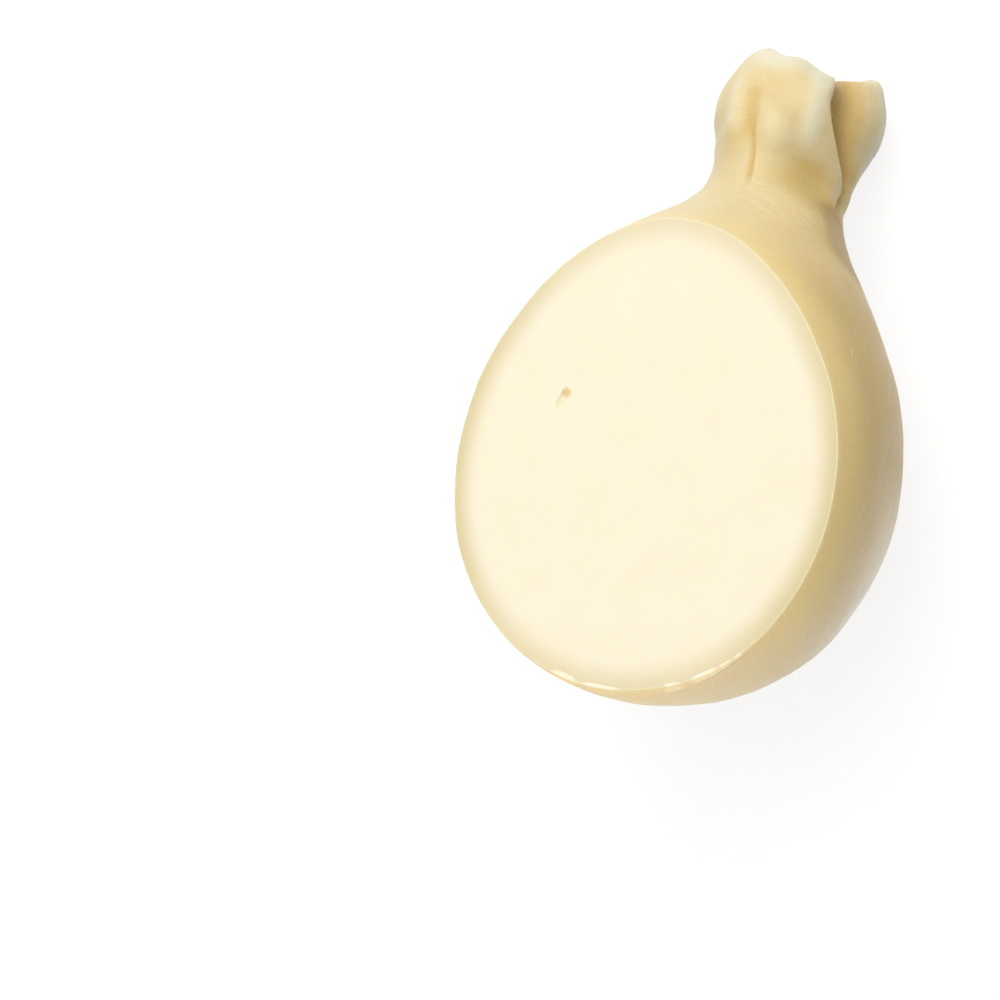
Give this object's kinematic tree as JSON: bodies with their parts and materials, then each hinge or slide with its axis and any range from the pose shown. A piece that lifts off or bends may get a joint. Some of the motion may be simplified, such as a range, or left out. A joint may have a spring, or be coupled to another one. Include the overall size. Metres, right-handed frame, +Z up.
{
  "type": "stretched-curd cheese",
  "caption": "Pear-shaped stretched-curd cheese with a tied neck and a folded head, lying on its side, cut open by one slanting cut that leaves a flat pale face.",
  "frame": {"origin": "on the surface that the cheese lies on, under the middle of its bounding box", "axes": "+Z up, +Y along the cheese towards its head, +X across it"},
  "size_m": [0.1406, 0.2118, 0.0919],
  "materials": {
    "rind": "smooth, slightly waxy straw-coloured rind; the cut face is a matt creamy white paste"
  },
  "bodies": {
    "root": {"cheese": "rind"}
  },
  "joints": []
}
